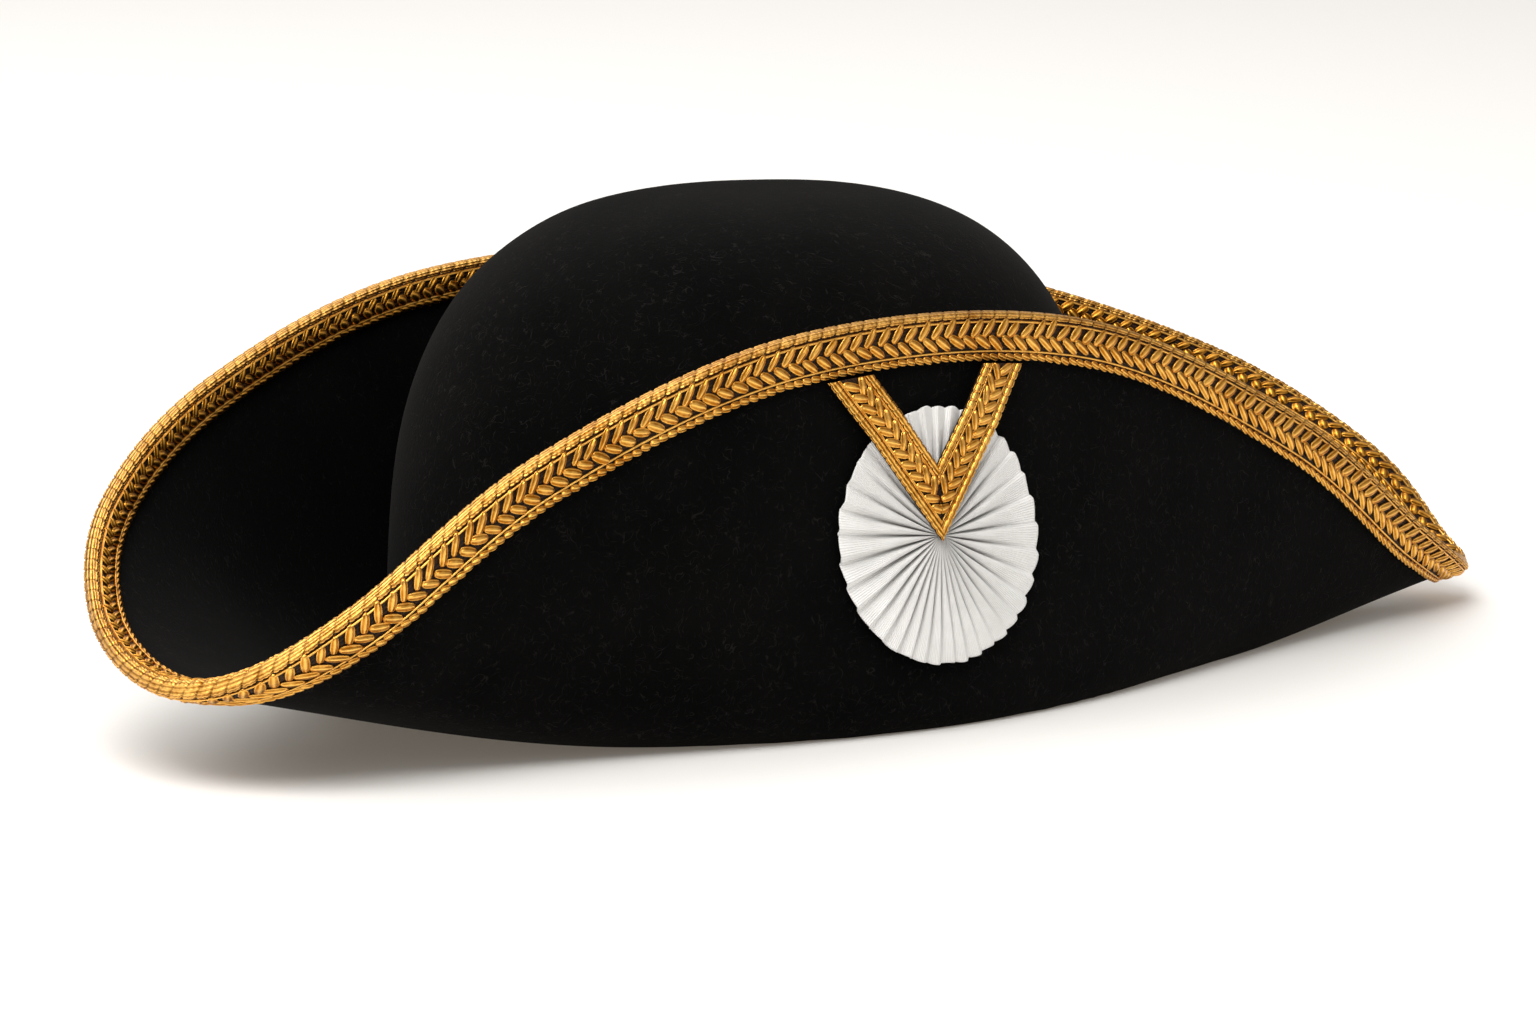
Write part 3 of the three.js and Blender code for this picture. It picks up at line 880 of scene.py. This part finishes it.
def calculate(tree, operation, *values):
    """One sum. MULTIPLY_ADD is the first times the second, plus the third."""
    return add_node(tree, "Math", dict(enumerate(values)), operation=operation).outputs[0]


def spread(tree, value, low, high, start=0.0, end=1.0, kind="LINEAR"):
    """What lies between low and high is spread from start to end, and stays there beyond them."""
    inputs = {"Value": value, "From Min": low, "From Max": high, "To Min": start, "To Max": end}
    return add_node(tree, "MapRange", inputs, interpolation_type=kind).outputs["Result"]


def noise(tree, place, scale, detail, **more):
    """A cloud of values from 0 to 1, the same at the same place on the hat."""
    inputs = {"Vector": place, "Scale": scale, "Detail": detail, **more}
    return add_node(tree, "TexNoise", inputs).outputs["Fac"]


def colour_ramp(tree, share, *stops):
    ramp = add_node(tree, "ValToRGB", {"Fac": share})
    for element, (position, colour) in zip(ramp.color_ramp.elements, stops):
        element.position, element.color = position, (*colour, 1)
    return ramp.outputs["Color"]


def mix_colours(tree, share, first, second):
    inputs = {"Factor": share, "A": first, "B": second}
    return add_node(tree, "Mix", inputs, data_type="RGBA").outputs["Result"]


def bump(tree, height, strength, distance):
    inputs = {"Height": height, "Strength": strength, "Distance": distance}
    return add_node(tree, "Bump", inputs).outputs["Normal"]


def on_hat(tree):
    """The place on the hat, in metres."""
    return add_node(tree, "TexCoord", {}).outputs["Object"]


def on_thread(tree):
    """The UV map's two measures: along the thread or round the cockade, and across it."""
    thread = add_node(tree, "UVMap", {}, uv_map="thread").outputs["UV"]
    parts = add_node(tree, "SeparateXYZ", {"Vector": thread})
    return parts.outputs["X"], parts.outputs["Y"]


def new_material(name):
    material = bpy.data.materials.new(name)
    material.use_nodes = True
    return material, material.node_tree


def shade(tree, inputs):
    fill(tree, tree.nodes["Principled BSDF"], inputs)


def put_on(material, pieces):
    for piece in pieces:
        piece.data.materials.clear()
        piece.data.materials.append(material)


# %% Felt finish
felt_hair = (0.019, 0.018, 0.017, 1)
felt_dark, felt_light = (0.0008, 0.0008, 0.0008), (0.0024, 0.0023, 0.0022)


def felt_finish():
    """A hair is where a noise passes its middle value, broken into short pieces by a second noise. Three
    copies, shifted and turned, lie across each other, and the strongest of them shows."""
    material, tree = new_material("black_felt_finish")
    place = on_hat(tree)
    hairs = 0.0
    for shift, turn in ((0.0, 0.0), (0.13, 1.1), (0.29, 2.2)):
        turned = add_node(tree, "Mapping", {
            "Vector": place,
            "Location": (shift, shift * 1.7, shift * 0.6),
            "Rotation": (turn, turn * 0.7, turn * 1.3),
        }).outputs["Vector"]
        cloud = noise(tree, turned, 210.0, 1.5, Roughness=0.45, Distortion=0.9)
        from_middle = calculate(tree, "ABSOLUTE", calculate(tree, "SUBTRACT", cloud, 0.5))
        line = spread(tree, from_middle, 0.0, 0.011, 1.0, 0.0)
        pieces = spread(tree, noise(tree, turned, 330.0 + 90 * shift, 1.0), 0.5, 0.64)
        hairs = calculate(tree, "MAXIMUM", hairs, calculate(tree, "MULTIPLY", line, pieces))
    cloud = noise(tree, place, 38.0, 4.0, Roughness=0.6)
    ground = colour_ramp(tree, cloud, (0.3, felt_dark), (0.75, felt_light))
    grain = noise(tree, place, 900.0, 3.0, Roughness=0.6)
    shade(tree, {
        "Base Color": mix_colours(tree, calculate(tree, "MULTIPLY", hairs, 0.5), ground, felt_hair),
        "Normal": bump(tree, calculate(tree, "ADD", grain, hairs), 0.5, 0.00025),
        "Roughness": 0.95,
        "Specular IOR Level": 0.03,
        "Sheen Weight": 0.035,
        "Sheen Roughness": 0.5,
        "Sheen Tint": (0.55, 0.54, 0.53, 1),
    })
    return material


put_on(felt_finish(), [felt])


# %% Gilt finishes
# Threads are counted to a millimetre across the cord, and the colours run from the gaps to the crests; the
# darker gaps between threads are painted shade.
gilt_kinds = {
    "gilt_strands": {"threads": 5, "dark": (0.43, 0.14, 0.006), "light": (1.0, 0.56, 0.12)},
    # The inside face is a darker copy of the gilt: painted shade.
    "gilt_inside_painted_shade": {
        "threads": 5, "dark": (0.17, 0.048, 0.002), "light": (0.80, 0.39, 0.055), "roughness": 0.38,
    },
    "gilt_rim": {
        "threads": 1, "dark": (0.33, 0.104, 0.004), "light": (1.0, 0.56, 0.13), "waves": 0.2, "bound": True,
    },
    "gilt_cords": {"threads": 0.8, "dark": (0.41, 0.134, 0.005), "light": (1.0, 0.56, 0.12)},
    "gilt_ribbon": {
        "threads": 1.2, "dark": (0.004, 0.0012, 0.0002), "light": (0.035, 0.012, 0.001),
        "roughness": 0.6, "metal": 0.3,
    },
}
# Painted shade for the grooves between the rim cord's bindings.
binding_painted_shade = (0.10, 0.03, 0.002, 1)


def gilt_finish(name, threads, dark, light, roughness=0.34, metal=1.0, waves=0.26, bound=False):
    """Threads run along the cord: a sine across it, and the darker gaps between threads are painted shade.
    Two noises stain the gilding. A bound cord gets painted shade in the grooves of its bindings, as
    wound_ridge()
    has them: where length/pitch + 2 * (share of the turn) is near a half."""
    material, tree = new_material(name)
    place = on_hat(tree)
    length, across = on_thread(tree)
    wave = calculate(tree, "SINE", calculate(tree, "MULTIPLY", across, math.tau * threads))
    stain = noise(tree, place, 420.0, 4.0, Roughness=0.65)
    wide = noise(tree, place, 45.0, 3.0, Roughness=0.6)
    # Painted shade: the thread wave darkens the gaps between threads; the two noises are the gilding's own
    # uneven tone.
    share = calculate(tree, "MULTIPLY_ADD", wave, waves, stain)
    share = calculate(tree, "MULTIPLY_ADD", wide, 0.5, share)
    colour = colour_ramp(tree, share, (0.42, dark), (0.98, light))
    # Painted shade in the binding grooves of a bound cord.
    if bound:
        turns = calculate(tree, "MULTIPLY", across, 2 / rim_map_height)
        phase = calculate(tree, "MULTIPLY_ADD", length, 1 / pitch, turns)
        away = calculate(tree, "PINGPONG", phase, 0.5)
        groove = spread(tree, away, 0.36, 0.47, 0.0, 0.5, kind="SMOOTHSTEP")
        colour = mix_colours(tree, groove, colour, binding_painted_shade)
    shade(tree, {
        "Base Color": colour,
        "Normal": bump(tree, calculate(tree, "MULTIPLY_ADD", wave, 0.5, stain), 0.75, 0.0003),
        "Metallic": metal,
        "Specular IOR Level": 0.35,
        "Roughness": roughness,
    })
    return material


gilt = {name: gilt_finish(name, **kind) for name, kind in gilt_kinds.items()}
strap_strands = [piece for piece in strap_pieces if "strands" in piece.name]
strap_round = [piece for piece in strap_pieces if "_line_" in piece.name or "_border_" in piece.name]
put_on(gilt["gilt_ribbon"], [ribbon, strap_base])
put_on(gilt["gilt_rim"], [rim])
put_on(gilt["gilt_cords"], [*line_cords, *strap_round])
put_on(gilt["gilt_inside_painted_shade"], [piece for piece in strands if "_inside" in piece.name])
put_on(gilt["gilt_strands"], [piece for piece in strands if "_outside" in piece.name])
put_on(gilt["gilt_strands"], strap_strands)


# %% Ribbon finish
silk_dark, silk_light = (0.76, 0.75, 0.735), (0.88, 0.872, 0.858)
# The colour of the painted shade in the pleats' grooves.
silk_groove_painted_shade = (0.055, 0.05, 0.046, 1)
silk_ribs = 10


def silk_finish():
    """Fine ribs run from the middle to the rim. The UV map counts pleats round the cockade, so a groove is
    where the count is near a whole number. The grooves get painted shade, darker towards the middle, but
    not at the very middle, where they close up."""
    material, tree = new_material("white_silk_finish")
    place = on_hat(tree)
    pleat, from_middle = on_thread(tree)
    wave = calculate(tree, "SINE", calculate(tree, "MULTIPLY", pleat, math.tau * silk_ribs))
    cloud = noise(tree, place, 90.0, 4.0, Roughness=0.6)
    ribbed = calculate(tree, "MULTIPLY_ADD", wave, 0.12, cloud)
    silk = colour_ramp(tree, ribbed, (0.3, silk_dark), (0.8, silk_light))
    # Painted shade: the grooves are darkened in the colour, most towards the middle, and not at the very
    # middle.
    from_groove = calculate(tree, "PINGPONG", pleat, 0.5)
    groove = spread(tree, from_groove, 0.25, 0.0, kind="SMOOTHSTEP")
    open_middle = spread(tree, from_middle, cockade_radius * 0.03, cockade_radius * 0.14)
    inwards = spread(tree, from_middle, cockade_radius * 0.95, cockade_radius * 0.2)
    share = calculate(tree, "MULTIPLY", calculate(tree, "MULTIPLY", groove, open_middle), inwards)
    weave = noise(tree, place, 1400.0, 2.0)
    shade(tree, {
        "Base Color": mix_colours(tree, share, silk, silk_groove_painted_shade),
        "Normal": bump(tree, calculate(tree, "MULTIPLY_ADD", wave, 0.6, weave), 0.6, 0.00018),
        "Roughness": 0.62,
        "Sheen Weight": 0.2,
    })
    return material


put_on(silk_finish(), [cockade])

# %% [markdown]
# ## Floor, light and camera
# The photograph has a white sweep and broad soft light from above, with a little more from the left. A white
# sweep lets light through, so the floor glows faintly and its shadows stay soft and warm. The camera stands
# far back with a long lens, ten degrees above the table and turned well to the hat's left side.

# %% Floor
floor_half = 6.0


def floor_piece():
    mesh = bpy.data.meshes.new("floor")
    corners = [(x * floor_half, y * floor_half, 0) for x, y in ((-1, -1), (1, -1), (1, 1), (-1, 1))]
    mesh.from_pydata(corners, [], [(0, 1, 2, 3)])
    floor = bpy.data.objects.new("floor", mesh)
    bpy.context.scene.collection.objects.link(floor)
    material, tree = new_material("floor_white")
    shade(tree, {
        "Base Color": (0.76, 0.758, 0.755, 1),
        "Emission Color": (1.0, 0.87, 0.72, 1),
        "Emission Strength": 0.12,
        "Roughness": 0.9,
        "Specular IOR Level": 0.1,
    })
    mesh.materials.append(material)


floor_piece()

# %% Lights
sky_low, sky_high = (0.37, 0.335, 0.30), (1.0, 0.995, 0.985)
sky_strength = 0.64
world = bpy.data.worlds.new("studio")
bpy.context.scene.world = world
world.use_nodes = True
sky_tree = world.node_tree
sky_place = add_node(sky_tree, "TexCoord", {}).outputs["Generated"]
sky_height = add_node(sky_tree, "SeparateXYZ", {"Vector": sky_place}).outputs["Z"]
sky = colour_ramp(sky_tree, sky_height, (0.0, sky_low), (0.75, sky_high))
fill(sky_tree, sky_tree.nodes["Background"], {"Color": sky, "Strength": sky_strength})
bpy.context.scene.view_settings.view_transform = "Standard"
hat_middle = Vector((0, 0, 0.06))
light_colour = (1.0, 0.985, 0.96)
lights = [
    {"name": "key", "azimuth": -58, "elevation": 56, "away": 1.7, "size": 1.2, "power": 24},
    {"name": "side", "azimuth": -110, "elevation": 40, "away": 1.9, "size": 1.2, "power": 12},
    {"name": "back", "azimuth": 170, "elevation": 54, "away": 1.8, "size": 1.8, "power": 15},
]


def direction_of(azimuth, elevation):
    a, e = math.radians(azimuth), math.radians(elevation)
    return Vector((math.sin(a) * math.cos(e), -math.cos(a) * math.cos(e), math.sin(e)))


for row in lights:
    data = bpy.data.lights.new(row["name"], "AREA")
    data.shape = "DISK"
    data.size = row["size"]
    data.energy = row["power"]
    data.color = light_colour
    lamp = bpy.data.objects.new(row["name"], data)
    bpy.context.scene.collection.objects.link(lamp)
    lamp.location = hat_middle + direction_of(row["azimuth"], row["elevation"]) * row["away"]
    lamp.rotation_euler = (hat_middle - lamp.location).to_track_quat("-Z", "Y").to_euler()

# %% Camera
camera_azimuth, camera_elevation = -38, 9.5
camera_distance = 2.3922
camera_focal_pixels = 8998.6
camera_aim = Vector((-0.00566, 0.00128, 0.070))
aim_right, aim_up = 0.0048, -0.0272
photo_width = 1536
sensor_width = 36


def place_camera():
    stand = camera_aim + direction_of(camera_azimuth, camera_elevation) * camera_distance
    turned = math.radians(camera_azimuth)
    sideways = Vector((math.cos(turned), math.sin(turned), 0))
    upright = direction_of(camera_azimuth, camera_elevation).cross(sideways)
    target = camera_aim + sideways * aim_right + upright * aim_up
    back = (stand - target).normalized()
    right = Vector((0, 0, 1)).cross(back).normalized()
    up = back.cross(right)
    data = bpy.data.cameras.new("camera")
    data.sensor_width = sensor_width
    data.lens = camera_focal_pixels / photo_width * sensor_width
    data.clip_end = 30
    camera = bpy.data.objects.new("camera", data)
    bpy.context.scene.collection.objects.link(camera)
    turn = Matrix((right, up, back)).transposed().to_4x4()
    camera.matrix_world = Matrix.Translation(stand) @ turn
    bpy.context.scene.camera = camera


place_camera()
